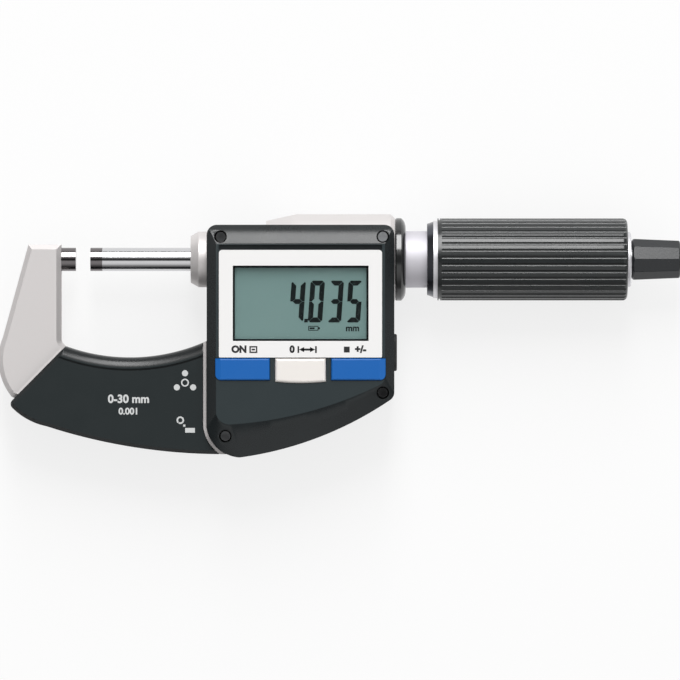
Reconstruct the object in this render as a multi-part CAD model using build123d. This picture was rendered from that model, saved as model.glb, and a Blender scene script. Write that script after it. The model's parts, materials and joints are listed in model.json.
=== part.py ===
from build123d import *
import math
import os

# Digital outside micrometer, lying on its back with the display up.
# Origin: centre of the anvil's measuring face. +X runs along the spindle to the ratchet,
# +Y from the frame's bow to the measuring line, +Z out of the display. Millimetres.

# Measuring line
travel = 30.0
opening = 4.035
spindle_r = 3.25
spindle_tip_length = 3.3
anvil_reach = 4.03
anvil_depth = 8.5
slide_fit = 0.015
turn_fit = 0.05
free_gap = 0.3
nose_face = 31.9
over = 1.0
big = 400.0

# Frame plate: arm, bow and limb
frame_thickness = 9.0
arm_top = 4.06
arm_top_width = 9.1
arm_knee = (-20.2, -21.6)
arm_bulge = (-21.35, -29.5)
arm_foot = (-17.7, -38.2)
arm_edge = 1.3
arm_root_radius = 2.0
arm_heel_rise = 2.4
bow_centre = (15.0, 25.2)
bow_radius = 52.4
bow_left = -2.7
tip_point = (-18.5, -40.1)
tip_radius = 1.5
heel_mid = (-14.3, -43.75)
heel_end = (-8.0, -46.3)
belly_mid = (14.4, -51.8)
belly_end = (44.0, -54.0)
web_pocket_depth = 2.3
web_rim = 4.2
pocket_corner = 2.0
limb_right = 60.0
limb_pocket = 3.5

# Frame nose and barrel
nose_r = 7.75
nose_face_r = 6.5
nose_round = 2.2
barrel_flat = 8.5
barrel_step = 52.8
barrel_ramp_r = 10.7
barrel_full = 61.1
barrel_r = 12.55
barrel_end = 88.6
barrel_edge = 1.2

# Insulating plates
plate_rise = 3.5
plate_lip = 1.2
plate_gap = 1.15
plate_round = 3.2
plate_edge = 1.0
plate_groove = 0.5
plate_groove_depth = 0.3
plate_parting = 0.1
arm_lip_width = 0.8
arm_lip_height = 0.3
limb_rib_rise = 2.9

# Housing outline at its rim and at its flat face
housing_left = 36.45
housing_right = 88.36
housing_top = 9.5
rim_heel_y = -46.4
rim_heel_mid = (38.9, -51.7)
rim_toe = (45.6, -54.9)
rim_belly = (68.0, -49.1)
rim_hip_y = -38.2
face_inset = 2.65
face_heel_y = -42.8
face_heel_mid = (40.4, -44.75)
face_toe = (43.2, -45.55)
face_belly = (66.9, -41.4)
face_hip_y = -34.0
top_corner_r = 2.8
toe_corner_r = 3.0
hip_corner_r = 2.6
housing_wall = 2.0
bevel_foot = 11.4
face_height = 14.0
shoulder_start = 4.0
shoulder_foot = 10.4
shoulder_mid = (7.0, 12.6)
face_groove = 1.3
face_groove_depth = 0.5
rear_depth = 12.6
rear_edge = 1.2
gasket_thickness = 0.4
gasket_inset = 0.3
part_gap = 0.15

# Face panel, window and display
panel_drop = 1.5
panel_height = 29.75
panel_inset = 3.4
panel_thickness = 1.0
panel_recess = 0.7
panel_corner = 0.9
panel_foot_corner = 0.3
panel_gap = 0.1
window_margin_left = 3.85
window_margin_right = 3.75
window_margin_top = 4.36
window_margin_bottom = 4.58
window_thickness = 0.8
window_ledge = 0.55
window_ledge_height = 12.9
window_gap = 0.05
display_margin = 2.2
display_thickness = 1.6
strip_width = 1.4

# Buttons
button_gap = 0.25
button_depth = 6.0
button_middle_depth = 6.4
button_middle_bulge = 0.4
button_outer_width = 15.0
button_middle_width = 14.0
button_spacing = 1.5
button_slope = 1.5
button_slope_drop = 0.55
button_rise = 0.6
button_flange = 0.45
button_flange_height = 0.7
button_fit = 0.12
button_travel = 0.6
button_play = 0.1
button_round = 0.5
button_middle_round = 0.8
button_corner = 1.6

# Circuit board and what it carries
board_thickness = 0.8
board_gap = 0.2
board_inset_left = 6.75
board_inset_right = 4.36
board_inset_top = 5.9
board_below_buttons = 2.1
switch_size = (4.0, 3.2, 0.7)
switch_plunger_r = 0.9
switch_clear = 0.05
head_left = 65.5
head_right = 74.5
head_half_width = 4.0
scale_margin = 0.7
scale_width = 2.8
scale_seat = 2.15
scale_thickness = 0.6
keyway_width = 2.0
keyway_depth = 1.2
keyway_margin = 1.0
key_r = 0.95
key_clear = 0.15
port_y = -25.85
port_z = 4.9
port_length = 10.3
port_height = 5.2
port_proud = 0.75
port_edge = 0.45
port_stem = 3.0
port_stem_inset = 1.1
port_fit = 0.1
socket_depth = 6.0
socket_wall = 0.8
socket_foot = 2.4

# Screws
screw_r = 0.8
screw_head_r = 1.35
screw_head_height = 1.1
screw_bite = 3.2
screw_boss_r = 2.5
screw_recess_r = 1.75
screw_floor = 1.6
screw_slot = 0.5
screw_cross = 0.95
screw_inset_top_left = (3.85, 3.3)
screw_inset_top_right = (3.2, 3.3)
screw_inset_low_left = (5.15, 2.6)
screw_inset_low_right = (3.16, 1.2)

# Battery and its cover
battery_place = (73.0, -30.0)
cell_r = 5.8
cell_height = 5.4
cell_edge = 0.3
cell_gap = 0.3
contact_r = 4.0
contact_thickness = 0.4
well_wall = 1.8
well_roof = 1.0
cover_r = 7.5
cover_fit = 0.05
cover_thickness = 1.7
cover_recess = 0.3
cover_slot_width = 1.6
cover_slot_length = 10.0
cover_slot_depth = 0.9
seal_thickness = 0.8
seal_width = 0.8
seal_inset = 0.3

# Sleeve, lock and drive
shank_r = 4.75
shank_inset = 0.4
shank_step_length = 8.6
shank_step_r = 6.2
guide_length = 19.7
relief_r = 3.6
collet_length = 5.4
collet_lip = 0.2
collet_r = 5.0
collet_slit = 0.8
journal_length = 2.6
journal_r = 7.0
sleeve_r = 7.85
sleeve_bore_r = 6.0
nut_length = 12.0
roller_r = 1.0
roller_length = 2.0
lock_gap = 0.1
lock_lip = 0.3
lock_dome = 1.2
lock_edge = 0.3
lock_r = 11.5
lock_dome_r = 8.3
lock_bulge = (0.25, 0.6)
screw_thread_r = 4.0
flange_r = 5.2
flange_thickness = 1.2
washer_thickness = 0.7
washer_r = 4.4
screw_collar = 1.5
coupling_play = 0.02
coupling_r = 5.7
coupling_wall = 0.8
coupling_clear = 0.56
nut_clear = 1.1
screw_neck_r = 2.8

# Thimble
closed_gap = 1.965
wiper_length = 1.7
thimble_cone_r = 9.9
wiper_r = 10.5
wiper_spigot = 2.0
wiper_spigot_r = 8.8
front_ring_length = 1.2
thimble_ring_r = 10.7
grip_seat_r = 9.4
grip_r = 11.4
grip_flutes = 36
flute_r = 0.55
flute_depth = 0.4
flute_turn = -2.0
grip_round = 1.3
grip_collar = 0.3
grip_line = 0.4
flute_margin = 0.4
thimble_clear = 0.1
thimble_wall = 8.1
end_ring_length = 1.0
thimble_end_r = 7.6
thimble_end_edge = 0.3
screw_shank_r = 3.2

# Ratchet
knob_gap = 0.2
knob_length = 13.9
knob_r = 6.0
knob_end_r = 5.4
knob_sides = 10
knob_rim = 0.8
knob_chamfer = 1.2
knob_bore_r = 4.7
knob_mouth_depth = 3.8
knob_web = 1.4
knob_mouth_r = 2.9
hub_r = 1.6
base_r = 4.4
base_thickness = 1.6
tooth_count = 12
tooth_height = 0.5
tooth_length = 1.4
tooth_share = 0.9
driver_r = 4.55
driver_thickness = 1.6
ratchet_gap = 0.1
spring_wire_r = 0.3
spring_r = 3.4
spring_turns = 3.5
ratchet_screw_r = 1.1
ratchet_screw_head_r = 2.4
ratchet_screw_head = 1.4
ratchet_screw_depth = 9.0

# Heights and places that follow from the sizes above
half = frame_thickness / 2
cavity_top = face_height - housing_wall
board_low = barrel_flat + board_gap
board_high = board_low + board_thickness
flange_top = cavity_top - button_play
flange_low = flange_top - button_flange_height
cover_inner = cover_recess + cover_thickness - rear_depth
well_top = cover_inner + cell_height + contact_thickness
panel_left = housing_left + panel_inset
panel_right = housing_right - panel_inset
panel_top = shoulder_start - panel_drop
panel_bottom = panel_top - panel_height
panel_low = face_height - panel_recess
window_left = panel_left + window_margin_left
window_right = panel_right - window_margin_right
window_top = panel_top - window_margin_top
window_bottom = panel_bottom + window_margin_bottom
button_top = panel_bottom - button_gap
button_bottom = button_top - button_depth
screw_top_left = (housing_left + screw_inset_top_left[0], housing_top - screw_inset_top_left[1])
screw_top_right = (housing_right - screw_inset_top_right[0], housing_top - screw_inset_top_right[1])
screw_low_left = (housing_left + screw_inset_low_left[0], rim_heel_y - screw_inset_low_left[1])
screw_low_right = (housing_right - screw_inset_low_right[0], rim_hip_y + screw_inset_low_right[1])

# Stations along the measuring line that follow from the sizes above
feed_open = travel - opening
key_x = (head_left + head_right) / 2
shank_start = nose_face + shank_inset
guide_end = shank_start + guide_length
shank_step = barrel_end - shank_step_length
sleeve_shoulder = barrel_end + journal_length
lock_start = barrel_end + lock_gap
lock_end = sleeve_shoulder + lock_lip
collet_end = sleeve_shoulder + collet_lip
collet_start = collet_end - collet_length
spindle_end = collet_end + coupling_clear + opening
flange_end = spindle_end + flange_thickness
collar_start = flange_end + washer_thickness + coupling_play
collar_end = collar_start + screw_collar
cap_web = collar_end + coupling_play + washer_thickness
cap_end = cap_web + coupling_wall
sleeve_end = cap_end + feed_open + nut_clear + nut_length
thimble_front = lock_end + closed_gap + opening
wiper_end = thimble_front + wiper_length
grip_start = wiper_end + front_ring_length
thimble_wall_start = sleeve_end + closed_gap + opening
thimble_end = thimble_wall_start + thimble_wall
grip_end = thimble_end - end_ring_length
knob_start = thimble_end + knob_gap
knob_end = knob_start + knob_length
knob_web_start = knob_end - knob_mouth_depth - knob_web


def block(x0, x1, y0, y1, z0, z1):
    """Box between two corners."""
    centre = Pos((x0 + x1) / 2, (y0 + y1) / 2, (z0 + z1) / 2)
    return centre * Box(x1 - x0, y1 - y0, z1 - z0)


def turned(*profile):
    """Solid turned about the measuring line from (x, radius) points."""
    return revolve(make_face(Polyline(*profile, close=True)), Axis.X)


def ring(x0, x1, outer, inner=0.0):
    """Tube or disc on the measuring line."""
    return turned((x0, inner), (x1, inner), (x1, outer), (x0, outer))


def upright(place, radius, z0, z1):
    """Cylinder standing along Z at an XY place."""
    return Pos(place[0], place[1], (z0 + z1) / 2) * Cylinder(radius, z1 - z0)


def slab(face, z0, z1):
    """A plan outline given thickness between two heights."""
    return extrude(Pos(0, 0, z0) * face, z1 - z0)


def corner(face, point, radius):
    """Round the corner of a plan outline that lies nearest to a point."""
    vertex = face.vertices().sort_by_distance(Vector(*point))[0]
    return fillet(vertex, radius)


def rectangle(x0, x1, y0, y1, radius=0.0):
    """Plan rectangle between two corners, with rounded corners if a radius is given."""
    place = Pos((x0 + x1) / 2, (y0 + y1) / 2)
    if radius:
        return place * RectangleRounded(x1 - x0, y1 - y0, radius)
    return place * Rectangle(x1 - x0, y1 - y0)


def housing_rim():
    """Plan outline of both housing halves."""
    heel = (housing_left, rim_heel_y)
    hip = (housing_right, rim_hip_y)
    return housing_plan(housing_left, heel, rim_heel_mid, rim_toe, rim_belly, hip, housing_right)


def housing_face():
    """Plan outline of the flat face, inside the bevels."""
    left = housing_left + face_inset
    right = housing_right - face_inset
    heel = (left, face_heel_y)
    hip = (right, face_hip_y)
    return housing_plan(left, heel, face_heel_mid, face_toe, face_belly, hip, right)


def housing_plan(left, heel, heel_mid_point, toe, belly, hip, right):
    """Closed outline: left side, curved heel, long curved belly, right side, top."""
    edges = [
        Line((left, housing_top), heel),
        ThreePointArc(heel, heel_mid_point, toe),
        ThreePointArc(toe, belly, hip),
        Line(hip, (right, housing_top)),
        Line((right, housing_top), (left, housing_top)),
    ]
    face = make_face(edges)
    face = corner(face, toe, toe_corner_r)
    face = corner(face, hip, hip_corner_r)
    face = corner(face, (left, housing_top), top_corner_r)
    return corner(face, (right, housing_top), top_corner_r)


def bow_point(x):
    """Point of the bow's inner arc at a given x."""
    drop = math.sqrt(bow_radius**2 - (x - bow_centre[0]) ** 2)
    return (x, bow_centre[1] - drop)


def bow_outline():
    """Plan of the bow from its tip under the arm to a little inside the housing."""
    top_left = bow_point(bow_left)
    top_right = bow_point(belly_end[0])
    edges = [
        ThreePointArc(top_left, bow_point(bow_centre[0]), top_right),
        Line(top_right, belly_end),
        ThreePointArc(belly_end, belly_mid, heel_end),
        ThreePointArc(heel_end, heel_mid, tip_point),
        Line(tip_point, top_left),
    ]
    return corner(make_face(edges), tip_point, tip_radius)


def plate_outline():
    """Plan of an insulating plate: the bow cut parallel to the housing's edge."""
    return bow_outline() - offset(housing_rim(), plate_gap)


def arm_outline():
    """Plan of the anvil arm, its lower end inside the bow."""
    inner = -anvil_reach
    outer = inner - arm_top_width
    root_x, root_y = bow_point(bow_left)
    inner_foot = (inner, root_y + plate_lip)
    under_root = (root_x + plate_lip, root_y - plate_lip)
    over_heel = (heel_end[0], heel_mid[1] + arm_heel_rise)
    edges = [
        Line((inner, arm_top), (outer, arm_top)),
        Line((outer, arm_top), arm_knee),
        ThreePointArc(arm_knee, arm_bulge, arm_foot),
        Line(arm_foot, over_heel),
        Line(over_heel, under_root),
        Line(under_root, inner_foot),
        Line(inner_foot, (inner, arm_top)),
    ]
    return corner(make_face(edges), inner_foot, arm_root_radius)


def limb_rib():
    """Bright rib round the bow between the insulating plates and the housing."""
    band = offset(housing_rim(), plate_gap - part_gap) - offset(housing_rim(), part_gap)
    height = half + limb_rib_rise
    return slab(band & bow_outline(), -height, height)


def along_plate_side(*section):
    """Bar along the plates' edge beside the arm, from (distance from the plate, height) points."""
    root = Vector(*bow_point(bow_left))
    tip = Vector(*tip_point)
    along = (root - tip).normalized()
    middle = (root + tip) / 2
    plane = Plane(origin=middle, x_dir=along.rotate(Axis.Z, 90), z_dir=along)
    return extrude(plane * make_face(Polyline(*section, close=True)), (root - tip).length, both=True)


def arm_lip():
    """Raised sloping lip on the arm's face along the edge of the insulating plate."""
    near = part_gap / 2
    far = near + arm_lip_width
    strip = along_plate_side(
        (near, half - over),
        (near, half + arm_lip_height),
        (far, half),
        (far, half - over),
    )
    return strip & slab(offset(arm_outline(), -arm_edge), 0, half + over)


def limb_outline():
    """Plan of the frame's limb behind the housing, clear of the housing's walls."""
    inside = offset(housing_rim(), -(housing_wall + 2 * part_gap))
    return inside & rectangle(housing_left, limb_right, rim_toe[1], 0)


def barrel_form(growth):
    """Nose and barrel of the frame, flattened front and back; growth adds clearance."""
    face = nose_face - growth
    form = turned(
        (face, 0),
        (face, nose_face_r + growth),
        (nose_face + nose_round, nose_r + growth),
        (barrel_step - growth, nose_r + growth),
        (barrel_step - growth, barrel_ramp_r + growth),
        (barrel_full - growth, barrel_r + growth),
        (barrel_end - barrel_edge, barrel_r + growth),
        (barrel_end + growth, barrel_r - barrel_edge + growth),
        (barrel_end + growth, 0),
    )
    flat = barrel_flat + growth
    return form & block(0, big, -big, big, -flat, flat)


def frame():
    """Cast frame: arm, bow, limb, nose and barrel in one piece."""
    arm = slab(arm_outline(), -half, half)
    faces = arm.faces().filter_by(Axis.Z)
    arm = chamfer(faces.edges(), arm_edge)
    bow = slab(offset(bow_outline(), -plate_lip), -half, half)
    limb = slab(limb_outline(), -half, half)
    lip = arm_lip()
    body = arm + lip + mirror(lip, Plane.XY) + bow + limb_rib() + limb + barrel_form(0)
    web = offset(plate_outline(), -web_rim)
    for z0, z1 in ((half - web_pocket_depth, half), (-half, web_pocket_depth - half)):
        body -= slab(web, z0, z1)
    body -= limb_pockets()
    body -= ring(-anvil_reach - anvil_depth, big, spindle_r) & block(-big, 0, -big, big, -big, big)
    body -= ring(nose_face - over, big, shank_r)
    body -= ring(shank_step, big, shank_step_r)
    body -= block(*encoder_window(), 0, big)
    body -= upright((key_x, 0), key_r, -big, 0)
    return body - screw_seats()


def limb_pockets():
    """Cast recesses in both faces of the limb, clear of the lower screw seat."""
    x0 = screw_low_left[0] + screw_boss_r + limb_pocket / 2
    x1 = limb_right - limb_pocket
    y0 = rim_heel_y + limb_pocket / 2
    y1 = -barrel_r - limb_pocket
    plan = rectangle(x0, x1, y0, y1, pocket_corner)
    front = slab(plan, half - web_pocket_depth, half)
    return front + slab(plan, -half, web_pocket_depth - half)


def encoder_window():
    """Plan extent of the opening over the scale."""
    side = head_half_width + 2 * free_gap
    return (head_left - 2 * free_gap, head_right + 2 * free_gap, -side, side)


def screw_seats():
    """Spot faces and tapped holes for the screws that enter the frame."""
    seats = upright(screw_top_left, screw_boss_r + part_gap, half, nose_r + over)
    seats += upright(screw_top_left, screw_boss_r + part_gap, -nose_r - over, -half)
    for place, height in frame_screws():
        seats += upright(place, screw_r, height - screw_bite, height)
        seats += upright(place, screw_r, -height, screw_bite - height)
    return seats


def frame_screws():
    """Places and seat heights of the screws that enter the frame, the same front and back."""
    return [(screw_top_left, half), (screw_top_right, barrel_flat), (screw_low_left, half)]


def anvil():
    """Steel pin pressed into the arm behind the carbide tip."""
    return ring(-anvil_reach - anvil_depth, -anvil_reach, spindle_r)


def anvil_tip():
    """Carbide end of the anvil, its face at the origin."""
    return ring(-anvil_reach, 0, spindle_r)


def plate_top_edge(plate, point):
    """Edge of the plate's flat face that passes a point."""
    upper = plate.edges().group_by(Axis.Z)[-1]
    return upper.sort_by_distance(Vector(*point, half + plate_rise))[0]


def front_plate():
    """Front insulating plate: a bevelled cap over the bow with a rounded inner edge and a groove."""
    top = half + plate_rise
    plate = slab(plate_outline(), plate_parting, top)
    plate -= along_plate_side(
        (-plate_edge, top + over),
        (-plate_edge, top),
        (over, top - plate_edge - over),
        (over, top + over),
    )
    plate = fillet(plate_top_edge(plate, bow_point(bow_centre[0])), plate_round)
    plate = chamfer(plate_top_edge(plate, belly_mid), plate_edge)
    plate = chamfer(plate_top_edge(plate, heel_mid), plate_edge)
    groove = Circle(bow_radius + plate_round + plate_groove) - Circle(bow_radius + plate_round)
    plate -= slab(Pos(*bow_centre) * groove, top - plate_groove_depth, top)
    inside = offset(bow_outline(), -plate_lip) + arm_outline()
    return plate - slab(offset(inside, part_gap / 2), 0, half)


def rear_plate():
    """Rear insulating plate, the mirror image of the front one."""
    return mirror(front_plate(), Plane.XY)


def front_form(inset, drop):
    """Front housing block: upright walls, bevels up to the face and a rounded top shoulder."""
    rim = offset(housing_rim(), -inset) if inset else housing_rim()
    face = offset(housing_face(), -inset) if inset else housing_face()
    foot = bevel_foot - drop
    low = gasket_thickness / 2 if not inset else 0
    walls = slab(rim, low, foot)
    bevels = loft([Pos(0, 0, foot) * rim, Pos(0, 0, face_height - drop) * face], ruled=True)
    return walls + bevels - shoulder_cut(inset, drop)


def shoulder_cut(inset, drop):
    """What the rounded shoulder takes off the top edge of the front housing."""
    y0 = shoulder_start - inset
    y1 = housing_top - inset
    mid = (shoulder_mid[0] - inset, shoulder_mid[1] - drop)
    top = face_height - drop
    foot = shoulder_foot - drop
    above = top + over
    outside = y1 + inset + over
    edges = [
        ThreePointArc((y0, top), mid, (y1, foot)),
        Line((y1, foot), (outside, foot)),
        Line((outside, foot), (outside, above)),
        Line((outside, above), (y0, above)),
        Line((y0, above), (y0, top)),
    ]
    profile = Plane.YZ * make_face(edges)
    return extrude(profile, big / 2)


def frame_passage():
    """Space that the frame takes in the housing walls, with clearance in plan."""
    plan = offset(bow_outline(), -plate_lip) + limb_outline()
    return slab(offset(plan, part_gap), -half, half) + barrel_form(part_gap)


def front_bosses():
    """Screw posts under the face."""
    posts = upright(screw_low_right, screw_boss_r, gasket_thickness / 2, cavity_top)
    for place, height in frame_screws():
        posts += upright(place, screw_boss_r, height, cavity_top)
    return posts


def face_groove_cut():
    """Groove across the face between the panel and the shoulder."""
    middle = (panel_top + shoulder_start) / 2
    low = middle - face_groove / 2
    plan = rectangle(panel_left, panel_right, low, low + face_groove)
    return slab(plan, face_height - face_groove_depth, face_height + over)


def front_screw_cut(place, seat):
    """Clearance hole and head recess of one front screw."""
    hole = upright(place, screw_r + part_gap, seat - over, big / 2)
    return hole + upright(place, screw_recess_r, seat + screw_floor, big / 2)


def front_seats():
    """Places and post ends of the four front screws."""
    return frame_screws() + [(screw_low_right, gasket_thickness / 2)]


def head_floor(seat):
    """Height of the underside of a front screw's head."""
    return seat + screw_floor


def housing_front():
    """Front housing: bevelled shell with panel recess, window, button bays and screw posts."""
    body = front_form(0, 0)
    body -= front_form(housing_wall, housing_wall)
    body += front_bosses() & front_form(housing_wall / 2, housing_wall / 2)
    body -= frame_passage()
    body -= slab(offset(panel_plan(), panel_gap), panel_low, big / 2)
    body -= face_groove_cut()
    body -= slab(window_plan(), window_ledge_height, big / 2)
    body -= slab(offset(window_plan(), -window_ledge), 0, big / 2)
    pocket_low = flange_low - button_travel - free_gap
    for plan in button_plans():
        body -= slab(offset(plan, button_fit), 0, big / 2)
        body -= slab(offset(plan, button_flange + button_fit), pocket_low, cavity_top)
    body -= port_stem_form(port_fit, housing_wall + over)
    for place, seat in front_seats():
        body -= front_screw_cut(place, seat)
    return body


def rear_bosses():
    """Posts in the rear half: three on the frame, one that takes the long front screw."""
    low = housing_wall - rear_depth
    posts = upright(screw_low_right, screw_boss_r, low, -gasket_thickness / 2)
    for place, height in frame_screws():
        posts += upright(place, screw_boss_r, low, -height)
    return posts


def housing_rear():
    """Rear housing: shell with screw posts and a round battery well."""
    rim = housing_rim()
    back = offset(rim, -rear_edge)
    body = slab(rim, rear_edge - rear_depth, -gasket_thickness / 2)
    body += loft([Pos(0, 0, -rear_depth) * back, Pos(0, 0, rear_edge - rear_depth) * rim], ruled=True)
    body -= slab(offset(housing_rim(), -housing_wall), housing_wall - rear_depth, 0)
    body += rear_bosses() & slab(offset(housing_rim(), -housing_wall / 2), -rear_depth, 0)
    low = housing_wall / 2 - rear_depth
    body += upright(battery_place, cover_r + well_wall, low, well_top + well_roof)
    body -= upright(battery_place, cell_r + cell_gap, -big / 2, well_top)
    body -= upright(battery_place, cover_r + cover_fit, -big / 2, cover_inner + seal_thickness)
    body -= frame_passage()
    body -= upright(screw_low_right, screw_r, -screw_bite - gasket_thickness, 0)
    for place, height in frame_screws():
        body -= upright(place, screw_r + part_gap, -big / 2, over - height)
        body -= upright(place, screw_recess_r, -big / 2, -height - screw_floor)
    return body


def housing_gasket():
    """Flat seal on the parting line, open where the frame passes."""
    outer = offset(housing_rim(), -gasket_inset)
    inner = offset(housing_rim(), gasket_inset - housing_wall)
    seal = slab(outer - inner, -gasket_thickness / 2, gasket_thickness / 2)
    return seal - frame_passage()


def small_screw(place, head_low, tip):
    """Small cross-slotted screw standing along Z, head up."""
    top = head_low + screw_head_height
    screw = upright(place, screw_r, tip, head_low) + upright(place, screw_head_r, head_low, top)
    x, y = place
    deep = top - screw_head_height / 2
    wide = screw_slot / 2
    screw -= block(x - screw_cross, x + screw_cross, y - wide, y + wide, deep, top)
    return screw - block(x - wide, x + wide, y - screw_cross, y + screw_cross, deep, top)


def housing_screws():
    """The four screws on the front."""
    screws = small_screw(screw_low_right, head_floor(gasket_thickness / 2), -screw_bite)
    for place, seat in frame_screws():
        screws += small_screw(place, head_floor(seat), seat - screw_bite)
    return screws


def rear_screws():
    """The three screws on the back."""
    front = [small_screw(place, head_floor(seat), seat - screw_bite) for place, seat in frame_screws()]
    return mirror(front[0] + front[1] + front[2], Plane.XY)


def panel_plan():
    """Outline of the face panel, its upper corners rounder than the lower ones."""
    plan = rectangle(panel_left, panel_right, panel_bottom, panel_top)
    for x in (panel_left, panel_right):
        plan = corner(plan, (x, panel_top), panel_corner)
        plan = corner(plan, (x, panel_bottom), panel_foot_corner)
    return plan


def window_plan():
    """Outline of the opening in the face panel."""
    return rectangle(window_left, window_right, window_bottom, window_top)


def face_panel():
    """White panel round the window."""
    return slab(panel_plan() - window_plan(), panel_low, panel_low + panel_thickness)


def lcd_window():
    """Clear window on its ledge."""
    plan = offset(window_plan(), -window_gap)
    return slab(plan, window_ledge_height, window_ledge_height + window_thickness)


def lcd_panel():
    """Liquid crystal display, pressed against the underside of the face."""
    plan = rectangle(
        window_left - display_margin,
        window_right + display_margin,
        window_bottom - display_margin,
        window_top + display_margin,
    )
    return slab(plan, cavity_top - display_thickness, cavity_top)


def contact_strips():
    """Two conductive rubber strips between display and board."""
    low = board_high
    high = cavity_top - display_thickness
    x0 = window_left
    x1 = window_right
    y_top = window_top + display_margin
    y_bottom = window_bottom - display_margin
    upper = block(x0, x1, y_top - strip_width, y_top, low, high)
    return upper + block(x0, x1, y_bottom, y_bottom + strip_width, low, high)


def circuit_board():
    """Board on the barrel's flat, notched for the screw posts."""
    x0 = housing_left + board_inset_left
    x1 = housing_right - board_inset_right
    y0 = button_bottom - board_below_buttons
    board = block(x0, x1, y0, housing_top - board_inset_top, board_low, board_high)
    for place, seat in front_seats():
        board -= upright(place, screw_boss_r + free_gap, 0, cavity_top)
    return board


def button_plans():
    """Plan outlines of the left, centre and right buttons."""
    middle = (housing_left + housing_right) / 2
    c0 = middle - button_middle_width / 2
    c1 = middle + button_middle_width / 2
    l1 = c0 - button_spacing
    l0 = l1 - button_outer_width
    r0 = c1 + button_spacing
    r1 = r0 + button_outer_width
    left = corner(rectangle(l0, l1, button_bottom, button_top), (l0, button_bottom), button_corner)
    right = corner(rectangle(r0, r1, button_bottom, button_top), (r1, button_bottom), button_corner)
    low = button_top - button_middle_depth
    edges = [
        Line((c1, low), (c1, button_top)),
        Line((c1, button_top), (c0, button_top)),
        Line((c0, button_top), (c0, low)),
        ThreePointArc((c0, low), (middle, low - button_middle_bulge), (c1, low)),
    ]
    return [left, make_face(edges), right]


def outer_slope(plan):
    """What the sloping outer end of a side button takes off its cap, over the housing's bevel."""
    box = plan.bounding_box()
    left = box.min.X < panel_left
    end = box.min.X if left else box.max.X
    inward = button_slope if left else -button_slope
    top = face_height + button_rise
    edges = Polyline(
        (end, top - button_slope_drop),
        (end + inward, top),
        (end + inward, top + over),
        (end - inward, top + over),
        (end - inward, top - button_slope_drop),
        close=True,
    )
    profile = Pos(0, button_top + over, 0) * (Plane.XZ * make_face(edges))
    return extrude(profile, button_depth + 2 * over)


def button(plan, edge_r):
    """Key cap with softened edges and a flange that keeps it in the housing."""
    box = plan.bounding_box()
    cap = slab(plan, flange_top, face_height + button_rise)
    if box.min.X < panel_left or box.max.X > panel_right:
        cap -= outer_slope(plan)
    cap = fillet(cap.faces().sort_by(Axis.Z)[-1].edges(), edge_r)
    return cap + slab(offset(plan, button_flange), flange_low, flange_top)


def switches():
    """Three key switches under the buttons."""
    plunger_top = flange_low - button_travel - switch_clear
    wide, deep, high = switch_size
    parts = []
    for plan in button_plans():
        centre = plan.center()
        x, y = centre.X, (button_top + button_bottom) / 2
        body = block(x - wide / 2, x + wide / 2, y - deep / 2, y + deep / 2, board_high, board_high + high)
        parts.append(body + upright((x, y), switch_plunger_r, board_high, plunger_top))
    return parts[0] + parts[1] + parts[2]


def encoder_head():
    """Reading head under the board, over the scale."""
    low = spindle_r + free_gap
    return block(head_left, head_right, -head_half_width, head_half_width, low, board_low)


def encoder_scale():
    """Scale strip let into a flat on the spindle."""
    x0, x1 = scale_reach()
    wide = scale_width / 2
    return block(x0, x1, -wide, wide, scale_seat, scale_seat + scale_thickness)


def scale_reach():
    """Ends of the scale, which stays under the reading head over the whole travel."""
    return head_left - scale_margin - feed_open, head_right + scale_margin + opening


def key_pin():
    """Pin through the frame's back that runs in the spindle's keyway."""
    return upright((key_x, 0), key_r, -barrel_flat, keyway_depth - spindle_r - key_clear)


def port_stem_form(growth, depth):
    """Stem of the port cover, from the housing's side inwards."""
    plan = Plane.YZ * Pos(port_y, port_z) * SlotOverall(
        port_length - 2 * port_stem_inset + 2 * growth,
        port_height - 2 * port_stem_inset + 2 * growth,
    )
    return Pos(housing_right - depth, 0, 0) * extrude(plan, depth)


def port_cover():
    """Rubber plug of the data port, standing a little proud of the side."""
    plan = Plane.YZ * Pos(port_y, port_z) * SlotOverall(port_length, port_height)
    cap = Pos(housing_right, 0, 0) * extrude(plan, port_proud)
    outer = cap.faces().sort_by(Axis.X)[-1]
    cap = fillet(outer.edges(), port_edge)
    return cap + port_stem_form(-port_fit, port_stem)


def port_socket():
    """Data socket under the board, open to the side."""
    x1 = housing_right - housing_wall
    x0 = x1 - socket_depth
    y0 = port_y - port_length / 2
    y1 = port_y + port_length / 2
    z0 = port_z - port_height / 2
    z1 = port_z + port_height / 2
    wall = socket_wall
    body = block(x0, x1, y0, y1, z0, z1)
    body -= block(x0 + wall, x1, y0 + wall, y1 - wall, z0 + wall, z1 - wall)
    return body + block(x0, x0 + socket_foot, y0, y1, z1, board_low)


def battery_cell():
    """Button cell in its well."""
    cell = upright(battery_place, cell_r, cover_inner, cover_inner + cell_height)
    return chamfer(cell.edges().filter_by(GeomType.CIRCLE), cell_edge)


def battery_contacts():
    """Sprung contact disc above the cell."""
    return upright(battery_place, contact_r, well_top - contact_thickness, well_top)


def battery_seal():
    """Sealing ring under the cover."""
    outer = cover_r - seal_inset
    high = cover_inner + seal_thickness
    hole = upright(battery_place, outer - seal_width, cover_inner, high)
    return upright(battery_place, outer, cover_inner, high) - hole


def battery_cover():
    """Round screw cover with a coin slot."""
    low = -rear_depth + cover_recess
    cover = upright(battery_place, cover_r, low, cover_inner)
    x, y = battery_place
    long = cover_slot_length / 2
    wide = cover_slot_width / 2
    return cover - block(x - long, x + long, y - wide, y + wide, low, low + cover_slot_depth)


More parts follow.
